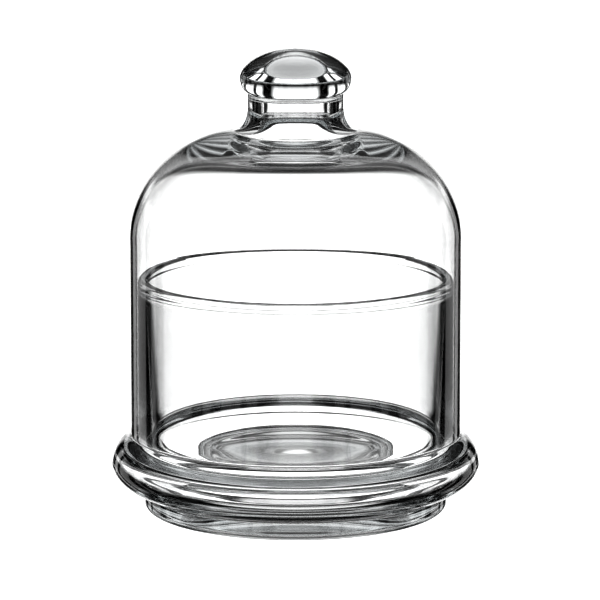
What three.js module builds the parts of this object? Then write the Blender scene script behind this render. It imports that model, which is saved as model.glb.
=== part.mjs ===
// Glass cloche: a knobbed bell that lifts off a footed saucer with a straight-sided cup in its middle.
// Millimetres, +Z up. The origin is on the axis, at the level of the surface the foot stands on.
// Every sub-part is turned about the Z axis, so each one is a closed profile of [radius, height] points.

import * as THREE from 'three'

const TURN_SIDES = 48

// Saucer outside: a ring foot under a bulge whose top carries the bell.
const BULGE_RADIUS = 55.3
const BULGE_HEIGHT = 14.2 // of the widest circle
const BULGE_LOWER_POWER = 1.75
const BULGE_UPPER_POWER = 1.7
const SEAT_HEIGHT = 22.5 // flat ring that carries the bell
const SEAT_OUTER_RADIUS = 49.0
const FOOT_RADIUS = 45.6
const FOOT_TOP = 6.3
const FOOT_ROOT_RADIUS = 46.0
const FOOT_EDGE_ROUND = 2.5
const FOOT_FLAT_WIDTH = 6.0
const FOOT_INNER_ROUND = 1.0
const FOOT_INNER_TURN = 200 // degrees, where the foot's inner round meets the sloping hollow
const ROOF_RADIUS = 28.0 // dished roof of the hollow under the saucer
const ROOF_DROP = 1.8
const ROOF_ROUND = 3.0
const ROOF_TURN = 20

// Saucer inside: a valley behind the bulge, round a dished middle that is raised over the hollow.
const BULGE_WALL = 3.4
const THROAT_HEIGHT = 26.6 // where the cup's inside starts to widen into the bulge
const THROAT_WIDTH = 3.5
const THROAT_DROP = 9.0
const VALLEY_OUTER = 42.0
const VALLEY_INNER = 36.0
const VALLEY_HEIGHT = 9.5
const VALLEY_ROUND = 3.0
const VALLEY_TURN = -160
const MIDDLE_RADIUS = 29.2
const MIDDLE_HEIGHT = 17.8
const MIDDLE_ROUND = 2.0
const MIDDLE_WALL = 3.0

// Cup: straight outside, with a wall that thickens downwards from a beaded rim.
const CUP_RADIUS = 47.2
const CUP_RIM_HEIGHT = 71.0
const CUP_RIM_WALL = 2.0
const CUP_FOOT_WALL = 3.3
const CUP_RIM_BEAD = 1.6
const CUP_RIM_TAPER = 2.0

// Bell: a cylinder with a superelliptic shoulder, whose wall thickens towards the crown.
const BELL_RADIUS = 49.7
const BELL_WALL = 1.7
const SHOULDER_HEIGHT = 82.5
const SHOULDER_POWER = 1.87
const SHOULDER_STEPS = 13
const CROWN_RADIUS = 18.5
const CROWN_HEIGHT = 114.8
const CROWN_WALL = 4.5
const CROWN_WALL_ONSET = 3.0 // how late in the shoulder the wall thickens

// Knob: a flared neck under a flattened solid head. A blind bore runs up the neck from inside the bell.
const NECK_RADIUS = 14.2
const NECK_JOIN_HEIGHT = 120.2
const NECK_FLARE_TOP = 122.0
const NECK_TOP = 123.8
const BORE_RADIUS = 10.3
const BORE_MOUTH_ROUND = 7.5
const BORE_ROOF_HEIGHT = 126.2
const BORE_ROOF_ROUND = 2.5
const HEAD_RADIUS = 16.6
const HEAD_HEIGHT = 130.4 // of the head's widest circle
const HEAD_TOP_RISE = 8.7
const HEAD_LOWER_WIDTH = 3.6
const HEAD_LOWER_DROP = 4.7
const HEAD_LOWER_TURN = -65
const HEAD_POWER = 1.9

const GAP = 0.3 // between sub-parts that meet
const CLOSENESS = 1e-4

// Points on an ellipse or superellipse arc, angles in degrees, anticlockwise from +radius.
function arc(centreRadius, centreHeight, width, rise, from, to, steps, power = 2) {
  const points = []
  for (let i = 0; i <= steps; i += 1) {
    const angle = THREE.MathUtils.degToRad(from + ((to - from) * i) / steps)
    const across = Math.sign(Math.cos(angle)) * Math.abs(Math.cos(angle)) ** (2 / power)
    const up = Math.sign(Math.sin(angle)) * Math.abs(Math.sin(angle)) ** (2 / power)
    points.push([centreRadius + width * across, centreHeight + rise * up])
  }
  return points
}

// Drops points that repeat their neighbour and sets near-zero radii on the axis.
function tidyProfile(points) {
  const kept = []
  for (const [radius, height] of points) {
    const point = new THREE.Vector2(Math.abs(radius) < CLOSENESS ? 0 : radius, height)
    if (kept.length === 0 || kept[kept.length - 1].distanceTo(point) > CLOSENESS) kept.push(point)
  }
  return kept
}

// A turned solid. LatheGeometry turns about Y, so it is stood up along Z.
function turned(name, points, material) {
  const geometry = new THREE.LatheGeometry(tidyProfile(points), TURN_SIDES)
  geometry.rotateX(Math.PI / 2)
  const mesh = new THREE.Mesh(geometry, material)
  mesh.name = name
  return mesh
}

function glass(color) {
  return new THREE.MeshStandardMaterial({ color, roughness: 0.03, metalness: 0 })
}

// The inside of the throat between two heights: it widens downwards, from the cup into the bulge.
function throat(top, bottom, steps) {
  const centre = CUP_RADIUS - CUP_FOOT_WALL + THROAT_WIDTH
  const drop = (height) => Math.asin((THROAT_HEIGHT - height) / THROAT_DROP)
  const turnAt = (height) => 180 + THREE.MathUtils.radToDeg(drop(height))
  return arc(centre, THROAT_HEIGHT, THROAT_WIDTH, THROAT_DROP, turnAt(top), turnAt(bottom), steps)
}

function saucerOutside() {
  const footOuter = FOOT_RADIUS - FOOT_EDGE_ROUND
  const footInner = footOuter - FOOT_FLAT_WIDTH
  const roofHeight = MIDDLE_HEIGHT - MIDDLE_WALL
  return [
    ...arc(0, roofHeight, ROOF_RADIUS, -ROOF_DROP, 90, 0, 5),
    ...arc(ROOF_RADIUS, roofHeight - ROOF_ROUND, ROOF_ROUND, ROOF_ROUND, 90, ROOF_TURN, 3),
    ...arc(footInner, FOOT_INNER_ROUND, FOOT_INNER_ROUND, FOOT_INNER_ROUND, FOOT_INNER_TURN, 270, 3),
    ...arc(footOuter, FOOT_EDGE_ROUND, FOOT_EDGE_ROUND, FOOT_EDGE_ROUND, -90, 0, 4),
    ...arc(FOOT_ROOT_RADIUS, BULGE_HEIGHT, BULGE_RADIUS - FOOT_ROOT_RADIUS,
      BULGE_HEIGHT - FOOT_TOP, -90, 0, 7, BULGE_LOWER_POWER),
    ...arc(SEAT_OUTER_RADIUS, BULGE_HEIGHT, BULGE_RADIUS - SEAT_OUTER_RADIUS,
      SEAT_HEIGHT - BULGE_HEIGHT, 0, 90, 7, BULGE_UPPER_POWER)
  ]
}

function saucerInside() {
  const shelfRadius = CUP_RADIUS - CUP_FOOT_WALL + THROAT_WIDTH
  const shelfHeight = THROAT_HEIGHT - THROAT_DROP
  const innerRadius = BULGE_RADIUS - BULGE_WALL
  return [
    ...throat(SEAT_HEIGHT, shelfHeight, 4),
    ...arc(shelfRadius, BULGE_HEIGHT, innerRadius - shelfRadius, shelfHeight - BULGE_HEIGHT, 90, 0, 4),
    ...arc(VALLEY_OUTER, BULGE_HEIGHT, innerRadius - VALLEY_OUTER, BULGE_HEIGHT - VALLEY_HEIGHT, 0, -90, 5),
    ...arc(VALLEY_INNER, VALLEY_HEIGHT + VALLEY_ROUND, VALLEY_ROUND, VALLEY_ROUND, -90, VALLEY_TURN, 3),
    ...arc(MIDDLE_RADIUS, MIDDLE_HEIGHT - MIDDLE_ROUND, MIDDLE_ROUND, MIDDLE_ROUND, ROOF_TURN, 90, 3),
    ...arc(0, MIDDLE_HEIGHT, MIDDLE_RADIUS, -ROOF_DROP, 0, 90, 5)
  ]
}

function cupProfile() {
  const bottom = SEAT_HEIGHT + GAP
  const beadCentre = CUP_RIM_HEIGHT - CUP_RIM_BEAD
  const inside = throat(THROAT_HEIGHT, bottom, 2)
  const start = inside[inside.length - 1]
  return [
    start,
    [CUP_RADIUS, bottom],
    ...arc(CUP_RADIUS - CUP_RIM_BEAD, beadCentre, CUP_RIM_BEAD, CUP_RIM_BEAD, 0, 180, 8),
    [CUP_RADIUS - CUP_RIM_WALL, beadCentre - CUP_RIM_TAPER],
    ...inside
  ]
}

function shoulder() {
  return arc(CROWN_RADIUS, SHOULDER_HEIGHT, BELL_RADIUS - CROWN_RADIUS,
    CROWN_HEIGHT - SHOULDER_HEIGHT, 0, 90, SHOULDER_STEPS, SHOULDER_POWER)
}

// The inside of the shoulder, set in from the outside by the wall that grows towards the crown.
function insideShoulder() {
  const outside = shoulder()
  return outside.map(([radius, height], i) => {
    const before = outside[Math.max(i - 1, 0)]
    const after = outside[Math.min(i + 1, SHOULDER_STEPS)]
    const along = new THREE.Vector2(after[0] - before[0], after[1] - before[1]).normalize()
    if (i === 0) along.set(0, 1)
    if (i === SHOULDER_STEPS) along.set(-1, 0)
    const share = Math.sin((Math.PI / 2) * (i / SHOULDER_STEPS)) ** CROWN_WALL_ONSET
    const wall = BELL_WALL + (CROWN_WALL - BELL_WALL) * share
    return [radius - wall * along.y, height + wall * along.x]
  })
}

// The outside of the neck sweeps from the crown up into the vertical.
function flare() {
  return arc(CROWN_RADIUS, NECK_FLARE_TOP, CROWN_RADIUS - NECK_RADIUS,
    NECK_FLARE_TOP - CROWN_HEIGHT, -90, -180, 6)
}

function flareRadius(height) {
  const drop = (NECK_FLARE_TOP - height) / (NECK_FLARE_TOP - CROWN_HEIGHT)
  return CROWN_RADIUS - (CROWN_RADIUS - NECK_RADIUS) * Math.sqrt(1 - drop * drop)
}

function bellProfile() {
  const rimRound = BELL_WALL / 2
  const rimCentre = SEAT_HEIGHT + GAP + rimRound
  const mouthHeight = CROWN_HEIGHT - CROWN_WALL + BORE_MOUTH_ROUND
  const start = [BORE_RADIUS, NECK_JOIN_HEIGHT]
  return [
    start,
    ...arc(BORE_RADIUS + BORE_MOUTH_ROUND, mouthHeight, BORE_MOUTH_ROUND, BORE_MOUTH_ROUND, 180, 270, 6),
    ...insideShoulder().reverse(),
    ...arc(BELL_RADIUS - rimRound, rimCentre, rimRound, rimRound, 180, 360, 6),
    ...shoulder(),
    ...flare().filter(([, height]) => height < NECK_JOIN_HEIGHT - GAP),
    [flareRadius(NECK_JOIN_HEIGHT), NECK_JOIN_HEIGHT],
    start
  ]
}

function knobProfile() {
  const bottom = NECK_JOIN_HEIGHT + GAP
  const roofCentre = BORE_RADIUS - BORE_ROOF_ROUND
  const roofSide = BORE_ROOF_HEIGHT - BORE_ROOF_ROUND
  return [
    [0, BORE_ROOF_HEIGHT],
    ...arc(roofCentre, roofSide, BORE_ROOF_ROUND, BORE_ROOF_ROUND, 90, 0, 4),
    [BORE_RADIUS, bottom],
    [flareRadius(bottom), bottom],
    [NECK_RADIUS, NECK_FLARE_TOP],
    [NECK_RADIUS, NECK_TOP],
    ...arc(HEAD_RADIUS - HEAD_LOWER_WIDTH, HEAD_HEIGHT, HEAD_LOWER_WIDTH, HEAD_LOWER_DROP,
      HEAD_LOWER_TURN, 0, 4),
    ...arc(0, HEAD_HEIGHT, HEAD_RADIUS, HEAD_TOP_RISE, 0, 90, 9, HEAD_POWER)
  ]
}

const cloche = new THREE.Group()
cloche.add(turned('saucer', [...saucerOutside(), ...saucerInside()], glass('#dfe6e6')))
cloche.add(turned('cup', cupProfile(), glass('#e3eaea')))
cloche.add(turned('bell', bellProfile(), glass('#e6ecec')))
cloche.add(turned('knob', knobProfile(), glass('#e1e8e8')))

export default cloche
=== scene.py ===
"""Glass cloche: a knobbed glass bell that lifts off a footed glass saucer with a cup in its middle.

Everything is in metres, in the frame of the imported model: +Z up, origin under the middle of the foot.
Both pieces of glass are turned about the Z axis from an outline of (radius, height) points.
"""

import math

import bmesh
import bpy
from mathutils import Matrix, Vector


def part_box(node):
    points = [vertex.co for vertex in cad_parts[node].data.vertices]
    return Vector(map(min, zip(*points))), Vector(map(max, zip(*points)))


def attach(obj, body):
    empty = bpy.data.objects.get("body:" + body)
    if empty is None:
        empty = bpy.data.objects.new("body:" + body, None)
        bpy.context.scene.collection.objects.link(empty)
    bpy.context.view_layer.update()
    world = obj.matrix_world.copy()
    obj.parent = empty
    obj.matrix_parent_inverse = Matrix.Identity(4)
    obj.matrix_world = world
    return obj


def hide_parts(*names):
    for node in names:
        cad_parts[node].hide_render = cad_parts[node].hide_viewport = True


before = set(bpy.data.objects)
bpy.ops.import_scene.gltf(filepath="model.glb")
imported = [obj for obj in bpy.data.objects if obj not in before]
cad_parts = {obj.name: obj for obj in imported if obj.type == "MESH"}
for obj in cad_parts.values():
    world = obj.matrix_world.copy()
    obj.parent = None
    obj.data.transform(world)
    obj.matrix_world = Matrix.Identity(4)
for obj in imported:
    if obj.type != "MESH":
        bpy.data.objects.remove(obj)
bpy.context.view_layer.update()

TURN_SIDES = 256
LONGEST_STEP = 0.0012  # between two points of an outline
CLOSENESS = 1e-7

# Outside of the saucer: a ring foot under a bulge whose top carries the bell.
BULGE_HEIGHT = 0.0142  # of the widest circle
BULGE_LOWER_POWER = 1.75
BULGE_UPPER_POWER = 1.7
SEAT_OUTER_RADIUS = 0.049
FOOT_RADIUS = 0.0456
FOOT_TOP = 0.0063
FOOT_ROOT_RADIUS = 0.046
FOOT_EDGE_ROUND = 0.0025
FOOT_FLAT_WIDTH = 0.006
FOOT_INNER_ROUND = 0.001
FOOT_INNER_TURN = 200  # degrees, where the foot's inner round meets the sloping hollow
ROOF_RADIUS = 0.028  # dished roof of the hollow under the saucer
ROOF_DROP = 0.0018
ROOF_ROUND = 0.003
ROOF_TURN = 20

# Inside of the saucer: a valley behind the bulge, round a dished middle that is raised over the hollow.
BULGE_WALL = 0.0034
THROAT_HEIGHT = 0.0266  # where the cup's inside starts to widen into the bulge
THROAT_WIDTH = 0.0035
THROAT_DROP = 0.009
VALLEY_OUTER = 0.042
VALLEY_INNER = 0.036
VALLEY_HEIGHT = 0.0095
VALLEY_ROUND = 0.003
VALLEY_TURN = -160
MIDDLE_RADIUS = 0.0292
MIDDLE_HEIGHT = 0.0178
MIDDLE_ROUND = 0.002
MIDDLE_WALL = 0.003

# Cup: a wall that thickens downwards from a beaded rim.
CUP_RIM_WALL = 0.002
CUP_FOOT_WALL = 0.0033
CUP_RIM_BEAD = 0.0016
CUP_RIM_TAPER = 0.002
CUP_SEAT_FILLET = 0.0006  # between the cup and the seat of the bell

# Bell: its wall thickens towards the crown.
BELL_WALL = 0.0017
SHOULDER_HEIGHT = 0.0825
SHOULDER_POWER = 1.87
CROWN_RADIUS = 0.0185
CROWN_HEIGHT = 0.1148
CROWN_WALL = 0.0045
CROWN_WALL_ONSET = 3.0  # how late in the shoulder the wall thickens

# Knob: a flared neck with a blind bore, under a flattened solid head.
NECK_RADIUS = 0.0142
NECK_FLARE_TOP = 0.122
NECK_TOP = 0.1238
BORE_RADIUS = 0.0103
BORE_MOUTH_ROUND = 0.0075
BORE_ROOF_HEIGHT = 0.1262
BORE_ROOF_ROUND = 0.0025
HEAD_HEIGHT = 0.1304  # of the head's widest circle
HEAD_LOWER_WIDTH = 0.0036
HEAD_LOWER_DROP = 0.0047
HEAD_LOWER_TURN = -62
HEAD_TUCK = 0.00025  # how far the neck dips before it turns out to the head
HEAD_POWER = 1.9

# Glass
GLASS_IOR = 1.5
GLASS_TINT = (0.78, 0.84, 0.86)
GLASS_DENSITY = 6.0
WAVE_SCALE = 60.0
WAVE_DETAIL = 1.0
WAVE_STRENGTH = 0.3
WAVE_HEIGHT = 0.00004
WEAR_SCALE = 900.0
WEAR_DETAIL = 4.0
WEAR_STARTS = 0.55  # on the noise, which runs from 0 to 1
WEAR_FULL = 0.8
WEAR_ROUGHNESS = 0.02

# Studio: bright panels with dark gaps between them, that the glass bends into its outlines. Each pattern is
# a list of (angle, brightness). Azimuths count from the Y axis, heights from the level.
PANEL_AZIMUTHS = (
    (0, 1), (15, 1), (19, 0), (25, 0), (28, 1), (33, 1), (35, 0), (37, 0), (39, 1),
    (52, 1), (54, 0), (60, 0), (62, 1), (66, 1), (68, 0), (75, 0), (78, 1), (90, 1))
PANEL_HEIGHTS = ((-90, 0), (-38, 0), (-34, 1), (8, 1), (12, 0), (90, 0))
CEILING_HEIGHTS = ((-90, 0), (14, 0), (40, 0.65), (60, 0.65), (64, 0.35), (90, 0.35))
TABLE_HEIGHTS = ((-90, 0.7), (-64, 0.7), (-58, 0), (90, 0))
# What light sees that was reflected inside the glass.
INNER_AZIMUTHS = ((0, 0.7), (10, 0.7), (14, 0), (90, 0))
INNER_HEIGHTS = ((-90, 0), (-16, 0), (-14, 1), (-8, 1), (-6, 0), (90, 0))
RAISED_HEIGHTS = ((-90, 0), (5, 0), (10, 0.6), (20, 0.6), (26, 0), (90, 0))
PANEL_LIGHT = 1.3
BACKDROP_LIGHT = 1.05
FLOOR_LIGHT = 1.05
FLOOR_SIZE = 6
FLOOR_DROP = 0.0002  # under the foot, so that the two surfaces don't fight

# Camera
CAMERA_DISTANCE = 1.4
CAMERA_RISE = 10.55  # degrees, above the level of the cup's rim
CAMERA_LEVEL = 0.071
CAMERA_LENS = 286
CAMERA_SENSOR = 36
AIM = (0.0013, 0, 0.0633)

# Picture
CONTRAST_GAMMA = 0.55
EXPOSURE = 0.25
GLASS_BOUNCES = 32
MIRROR_BOUNCES = 16
BRIGHTEST_BOUNCE = 10


def arc(radius, height, width, rise, start, end, steps, power=2.0):
    """Points on an ellipse or superellipse round (radius, height), from one angle to another in degrees."""
    points = []
    for i in range(steps + 1):
        angle = math.radians(start + (end - start) * i / steps)
        across = math.copysign(abs(math.cos(angle)) ** (2 / power), math.cos(angle))
        up = math.copysign(abs(math.sin(angle)) ** (2 / power), math.sin(angle))
        points.append((radius + width * across, height + rise * up))
    return points


def bend(start, corner, end, steps):
    """Points on a quadratic curve from start to end that leans towards corner."""
    points = []
    for i in range(steps + 1):
        t = i / steps
        weights = ((1 - t) ** 2, 2 * t * (1 - t), t * t)
        spots = (start, corner, end)
        points.append(tuple(sum(w * s[k] for w, s in zip(weights, spots)) for k in (0, 1)))
    return points


def shoulder(outer_radius, steps):
    """The outside of the bell's shoulder, from its cylinder up to its crown."""
    width = outer_radius - CROWN_RADIUS
    rise = CROWN_HEIGHT - SHOULDER_HEIGHT
    return arc(CROWN_RADIUS, SHOULDER_HEIGHT, width, rise, 0, 90, steps, SHOULDER_POWER)


def inside_shoulder(outer_radius, steps):
    """The inside of the shoulder: the wall grows thicker from the cylinder to the crown."""
    outside = shoulder(outer_radius, steps)
    points = []
    for i, (radius, height) in enumerate(outside):
        before = outside[max(i - 1, 0)]
        after = outside[min(i + 1, steps)]
        along = Vector((after[0] - before[0], after[1] - before[1])).normalized()
        if i == 0:
            along = Vector((0, 1))
        if i == steps:
            along = Vector((-1, 0))
        share = math.sin(math.radians(90 * i / steps)) ** CROWN_WALL_ONSET
        wall = BELL_WALL + (CROWN_WALL - BELL_WALL) * share
        points.append((radius - wall * along.y, height + wall * along.x))
    return points


def lid_outline():
    """The bell with its neck and knob, from the roof of the bore round to the top of the knob."""
    bell_low, bell_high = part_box("bell")
    _, knob_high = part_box("knob")
    bell_radius = bell_high.x
    rim_round = BELL_WALL / 2
    rim_height = bell_low.z + rim_round
    ceiling = CROWN_HEIGHT - CROWN_WALL
    head_radius = knob_high.x
    roof_radius = BORE_RADIUS - BORE_ROOF_ROUND
    roof_height = BORE_ROOF_HEIGHT - BORE_ROOF_ROUND
    mouth_radius = BORE_RADIUS + BORE_MOUTH_ROUND
    mouth_height = ceiling + BORE_MOUTH_ROUND
    flare = CROWN_RADIUS - NECK_RADIUS
    lower_radius = head_radius - HEAD_LOWER_WIDTH
    underside = arc(lower_radius, HEAD_HEIGHT, HEAD_LOWER_WIDTH, HEAD_LOWER_DROP, HEAD_LOWER_TURN, 0, 14)
    tuck = (NECK_RADIUS, underside[0][1] - HEAD_TUCK)
    head_rise = knob_high.z - HEAD_HEIGHT
    return [
        (0, BORE_ROOF_HEIGHT),
        *arc(roof_radius, roof_height, BORE_ROOF_ROUND, BORE_ROOF_ROUND, 90, 0, 16),
        *arc(mouth_radius, mouth_height, BORE_MOUTH_ROUND, BORE_MOUTH_ROUND, 180, 270, 16),
        *reversed(inside_shoulder(bell_radius, 72)),
        *arc(bell_radius - rim_round, rim_height, rim_round, rim_round, 180, 360, 16),
        *shoulder(bell_radius, 72),
        *arc(CROWN_RADIUS, NECK_FLARE_TOP, flare, NECK_FLARE_TOP - CROWN_HEIGHT, -90, -180, 20),
        *bend((NECK_RADIUS, NECK_TOP), tuck, underside[0], 8),
        *underside,
        *arc(0, HEAD_HEIGHT, head_radius, head_rise, 0, 90, 40, HEAD_POWER),
    ]


def base_outline():
    """The footed saucer and its cup, from the hollow under the foot round to the middle inside the cup."""
    _, saucer_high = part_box("saucer")
    _, cup_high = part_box("cup")
    seat_height = saucer_high.z
    saucer_radius = saucer_high.x
    cup_radius = cup_high.x
    rim_height = cup_high.z - CUP_RIM_BEAD
    foot_outer = FOOT_RADIUS - FOOT_EDGE_ROUND
    foot_inner = foot_outer - FOOT_FLAT_WIDTH
    lower_width = saucer_radius - FOOT_ROOT_RADIUS
    upper_width = saucer_radius - SEAT_OUTER_RADIUS
    fillet_radius = cup_radius + CUP_SEAT_FILLET
    fillet_height = seat_height + CUP_SEAT_FILLET
    neck_radius = cup_radius - CUP_FOOT_WALL
    bulge_radius = saucer_radius - BULGE_WALL
    shelf_radius = neck_radius + THROAT_WIDTH
    shelf_height = THROAT_HEIGHT - THROAT_DROP
    roof_height = MIDDLE_HEIGHT - MIDDLE_WALL
    roof_side = roof_height - ROOF_ROUND
    middle_side = MIDDLE_HEIGHT - MIDDLE_ROUND
    below = BULGE_HEIGHT - FOOT_TOP
    above = seat_height - BULGE_HEIGHT
    shelf_drop = shelf_height - BULGE_HEIGHT
    valley_width = bulge_radius - VALLEY_OUTER
    return [
        *arc(0, roof_height, ROOF_RADIUS, -ROOF_DROP, 90, 0, 24),
        *arc(ROOF_RADIUS, roof_side, ROOF_ROUND, ROOF_ROUND, 90, ROOF_TURN, 12),
        *arc(foot_inner, FOOT_INNER_ROUND, FOOT_INNER_ROUND, FOOT_INNER_ROUND, FOOT_INNER_TURN, 270, 8),
        *arc(foot_outer, FOOT_EDGE_ROUND, FOOT_EDGE_ROUND, FOOT_EDGE_ROUND, -90, 0, 12),
        *arc(FOOT_ROOT_RADIUS, BULGE_HEIGHT, lower_width, below, -90, 0, 24, BULGE_LOWER_POWER),
        *arc(SEAT_OUTER_RADIUS, BULGE_HEIGHT, upper_width, above, 0, 90, 24, BULGE_UPPER_POWER),
        *arc(fillet_radius, fillet_height, CUP_SEAT_FILLET, CUP_SEAT_FILLET, 270, 180, 6),
        *arc(cup_radius - CUP_RIM_BEAD, rim_height, CUP_RIM_BEAD, CUP_RIM_BEAD, 0, 180, 18),
        (cup_radius - CUP_RIM_WALL, rim_height - CUP_RIM_TAPER),
        *arc(shelf_radius, THROAT_HEIGHT, THROAT_WIDTH, THROAT_DROP, 180, 270, 16),
        *arc(shelf_radius, BULGE_HEIGHT, bulge_radius - shelf_radius, shelf_drop, 90, 0, 16),
        *arc(VALLEY_OUTER, BULGE_HEIGHT, valley_width, BULGE_HEIGHT - VALLEY_HEIGHT, 0, -90, 20),
        *arc(VALLEY_INNER, VALLEY_HEIGHT + VALLEY_ROUND, VALLEY_ROUND, VALLEY_ROUND, -90, VALLEY_TURN, 10),
        *arc(MIDDLE_RADIUS, middle_side, MIDDLE_ROUND, MIDDLE_ROUND, ROOF_TURN, 90, 12),
        *arc(0, MIDDLE_HEIGHT, MIDDLE_RADIUS, -ROOF_DROP, 0, 90, 24),
    ]


def refined(outline):
    """The outline without doubled points, and with long stretches divided so that shading stays even."""
    points = [outline[0]]
    for point in outline[1:]:
        last = points[-1]
        distance = math.dist(last, point)
        if distance < CLOSENESS:
            continue
        pieces = math.ceil(distance / LONGEST_STEP)
        for i in range(1, pieces + 1):
            share = i / pieces
            points.append(tuple(a + (b - a) * share for a, b in zip(last, point)))
    return points


def turned(name, outline):
    """A closed smooth solid: the outline, which starts and ends on the axis, turned about Z."""
    mesh = bmesh.new()
    rings = []
    for radius, height in refined(outline):
        if radius < CLOSENESS:
            rings.append([mesh.verts.new((0, 0, height))] * TURN_SIDES)
            continue
        turns = [math.tau * k / TURN_SIDES for k in range(TURN_SIDES)]
        rings.append([mesh.verts.new((radius * math.cos(t), radius * math.sin(t), height)) for t in turns])
    for lower, upper in zip(rings, rings[1:]):
        for k in range(TURN_SIDES):
            after = (k + 1) % TURN_SIDES
            corners = (lower[k], lower[after], upper[after], upper[k])
            mesh.faces.new(list(dict.fromkeys(corners)))
    bmesh.ops.recalc_face_normals(mesh, faces=mesh.faces[:])
    data = bpy.data.meshes.new(name)
    mesh.to_mesh(data)
    mesh.free()
    data.shade_smooth()
    piece = bpy.data.objects.new(name, data)
    bpy.context.scene.collection.objects.link(piece)
    return piece


def clear_glass(name):
    """Clear blown glass: smooth, with faint slow waves, fine patches of wear and a grey-green depth."""
    material = bpy.data.materials.new(name)
    material.use_nodes = True
    nodes = material.node_tree.nodes
    links = material.node_tree.links
    nodes.clear()
    output = nodes.new("ShaderNodeOutputMaterial")
    shader = nodes.new("ShaderNodeBsdfPrincipled")
    shader.inputs["IOR"].default_value = GLASS_IOR
    shader.inputs["Transmission Weight"].default_value = 1.0
    shader.inputs["Base Color"].default_value = (1, 1, 1, 1)
    place = nodes.new("ShaderNodeTexCoord")
    waves = nodes.new("ShaderNodeTexNoise")
    waves.inputs["Scale"].default_value = WAVE_SCALE
    waves.inputs["Detail"].default_value = WAVE_DETAIL
    bump = nodes.new("ShaderNodeBump")
    bump.inputs["Strength"].default_value = WAVE_STRENGTH
    bump.inputs["Distance"].default_value = WAVE_HEIGHT
    links.new(place.outputs["Object"], waves.inputs["Vector"])
    links.new(waves.outputs["Fac"], bump.inputs["Height"])
    links.new(bump.outputs["Normal"], shader.inputs["Normal"])
    wear = nodes.new("ShaderNodeTexNoise")
    wear.inputs["Scale"].default_value = WEAR_SCALE
    wear.inputs["Detail"].default_value = WEAR_DETAIL
    haze = nodes.new("ShaderNodeMapRange")
    haze.inputs["From Min"].default_value = WEAR_STARTS
    haze.inputs["From Max"].default_value = WEAR_FULL
    haze.inputs["To Min"].default_value = 0.0
    haze.inputs["To Max"].default_value = WEAR_ROUGHNESS
    links.new(place.outputs["Object"], wear.inputs["Vector"])
    links.new(wear.outputs["Fac"], haze.inputs["Value"])
    links.new(haze.outputs["Result"], shader.inputs["Roughness"])
    links.new(shader.outputs["BSDF"], output.inputs["Surface"])
    volume = nodes.new("ShaderNodeVolumeAbsorption")
    volume.inputs["Color"].default_value = (*GLASS_TINT, 1)
    volume.inputs["Density"].default_value = GLASS_DENSITY
    links.new(volume.outputs["Volume"], output.inputs["Volume"])
    return material


def glass_piece(name, outline, body, nodes):
    """One piece of glass, which rides on its body and stands for the CAD nodes."""
    piece = turned(name, outline)
    piece.data.materials.append(clear_glass(name + "_clear"))
    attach(piece, body)
    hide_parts(*nodes)
    return piece


def ramp(nodes, links, value, low, high, stops):
    """Brightness by value, given as (value, brightness) stops."""
    scaled = nodes.new("ShaderNodeMapRange")
    scaled.inputs["From Min"].default_value = low
    scaled.inputs["From Max"].default_value = high
    links.new(value, scaled.inputs["Value"])
    colours = nodes.new("ShaderNodeValToRGB")
    elements = colours.color_ramp.elements
    while len(elements) < len(stops):
        elements.new(0.5)  # anywhere: each one is placed below
    for element, (place, bright) in zip(elements, stops):
        element.position = (place - low) / (high - low)
        element.color = (bright, bright, bright, 1)
    links.new(scaled.outputs["Result"], colours.inputs["Fac"])
    return colours.outputs["Color"]


def maths(nodes, links, operation, *values):
    """The result of a Math node on numbers and sockets."""
    node = nodes.new("ShaderNodeMath")
    node.operation = operation
    for socket, value in zip(node.inputs, values):
        if isinstance(value, (int, float)):
            socket.default_value = value
        else:
            links.new(value, socket)
    return node.outputs["Value"]


def panel_pattern(nodes, links, turn, rise, azimuths, heights):
    """Panels of light: brightness by azimuth times brightness by height."""
    across = ramp(nodes, links, turn, 0, 90, azimuths)
    up = ramp(nodes, links, rise, -90, 90, heights)
    return maths(nodes, links, "MULTIPLY", across, up)


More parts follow.
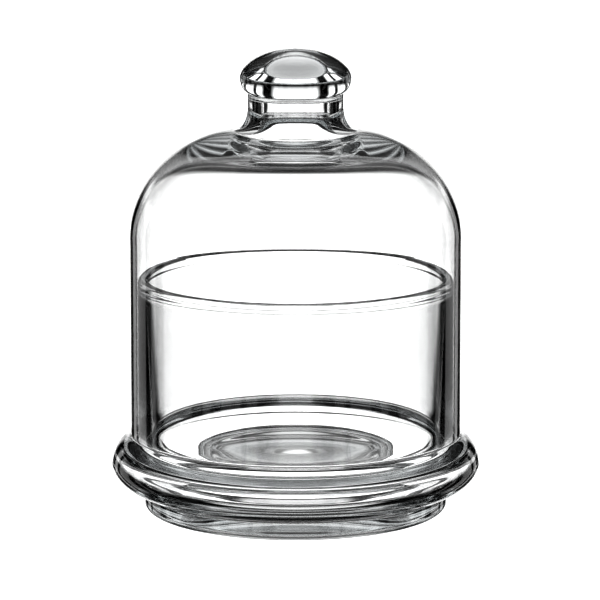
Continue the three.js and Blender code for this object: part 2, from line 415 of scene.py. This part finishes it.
def studio_light():
    """The world: a plain pale backdrop for the camera, and the panels for the light that the glass bends."""
    world = bpy.data.worlds.new("studio")
    bpy.context.scene.world = world
    world.use_nodes = True
    nodes = world.node_tree.nodes
    links = world.node_tree.links
    nodes.clear()
    output = nodes.new("ShaderNodeOutputWorld")
    light = nodes.new("ShaderNodeBackground")
    place = nodes.new("ShaderNodeTexCoord")
    split = nodes.new("ShaderNodeSeparateXYZ")
    links.new(place.outputs["Generated"], split.inputs["Vector"])
    x, y, z = split.outputs
    degrees = math.degrees(1)
    turn = maths(nodes, links, "MULTIPLY", maths(nodes, links, "ARCTAN2", x, y), degrees)
    turn = maths(nodes, links, "ABSOLUTE", turn)
    turn = maths(nodes, links, "MINIMUM", turn, maths(nodes, links, "SUBTRACT", 180.0, turn))
    rise = maths(nodes, links, "MULTIPLY", maths(nodes, links, "ARCSINE", z), degrees)
    path = nodes.new("ShaderNodeLightPath")
    # Above zero only for light that has been reflected as well as let through.
    glossy, through = path.outputs["Glossy Depth"], path.outputs["Transmission Depth"]
    turned_back = maths(nodes, links, "MULTIPLY", glossy, through)
    turned_back = maths(nodes, links, "MINIMUM", turned_back, 1.0)
    straight = maths(nodes, links, "SUBTRACT", 1.0, turned_back)
    outer = panel_pattern(nodes, links, turn, rise, PANEL_AZIMUTHS, PANEL_HEIGHTS)
    inner = panel_pattern(nodes, links, turn, rise, INNER_AZIMUTHS, INNER_HEIGHTS)
    inner = maths(nodes, links, "MAXIMUM", inner, ramp(nodes, links, rise, -90, 90, RAISED_HEIGHTS))
    outer = maths(nodes, links, "MULTIPLY", outer, straight)
    inner = maths(nodes, links, "MULTIPLY", inner, turned_back)
    above = ramp(nodes, links, rise, -90, 90, CEILING_HEIGHTS)
    below = ramp(nodes, links, rise, -90, 90, TABLE_HEIGHTS)
    panels = maths(nodes, links, "ADD", outer, inner)
    panels = maths(nodes, links, "MAXIMUM", panels, above)
    panels = maths(nodes, links, "MAXIMUM", panels, below)
    panels = maths(nodes, links, "MULTIPLY", panels, PANEL_LIGHT)
    seen = path.outputs["Is Camera Ray"]
    unseen = maths(nodes, links, "SUBTRACT", 1.0, seen)
    backdrop = maths(nodes, links, "MULTIPLY", seen, BACKDROP_LIGHT)
    panels = maths(nodes, links, "MULTIPLY", unseen, panels)
    bright = maths(nodes, links, "ADD", backdrop, panels)
    links.new(bright, light.inputs["Color"])
    links.new(light.outputs["Background"], output.inputs["Surface"])


def floor():
    """The pale table top. The glass looks through it, into the studio's lower panels."""
    bpy.ops.mesh.primitive_plane_add(size=FLOOR_SIZE, location=(0, 0, -FLOOR_DROP))
    plane = bpy.context.object
    plane.name = "floor"
    material = bpy.data.materials.new("pale_floor")
    material.use_nodes = True
    nodes = material.node_tree.nodes
    nodes.clear()
    output = nodes.new("ShaderNodeOutputMaterial")
    glow = nodes.new("ShaderNodeEmission")
    glow.inputs["Strength"].default_value = FLOOR_LIGHT
    material.node_tree.links.new(glow.outputs["Emission"], output.inputs["Surface"])
    plane.data.materials.append(material)
    plane.visible_transmission = False
    plane.visible_glossy = False


def camera():
    """The camera, in front of the object and a little above it."""
    lens = bpy.data.cameras.new("camera")
    lens.lens = CAMERA_LENS
    lens.sensor_width = CAMERA_SENSOR
    viewer = bpy.data.objects.new("camera", lens)
    bpy.context.scene.collection.objects.link(viewer)
    rise = CAMERA_DISTANCE * math.tan(math.radians(CAMERA_RISE))
    viewer.location = (0, -CAMERA_DISTANCE, CAMERA_LEVEL + rise)
    viewer.rotation_euler = (Vector(AIM) - viewer.location).to_track_quat("-Z", "Y").to_euler()
    bpy.context.scene.camera = viewer


def render_quality():
    """A hard, bright picture, with bounces enough for light to cross every wall of glass."""
    scene = bpy.context.scene
    scene.view_settings.view_transform = "Standard"
    scene.view_settings.gamma = CONTRAST_GAMMA
    scene.view_settings.exposure = EXPOSURE
    scene.cycles.max_bounces = GLASS_BOUNCES
    scene.cycles.transmission_bounces = GLASS_BOUNCES
    scene.cycles.glossy_bounces = MIRROR_BOUNCES
    scene.cycles.transparent_max_bounces = MIRROR_BOUNCES
    scene.cycles.use_denoising = True
    scene.cycles.sample_clamp_indirect = BRIGHTEST_BOUNCE


glass_piece("lid_glass", lid_outline(), "lid", ("bell", "knob"))
glass_piece("base_glass", base_outline(), "base", ("saucer", "cup"))
floor()
studio_light()
camera()
render_quality()
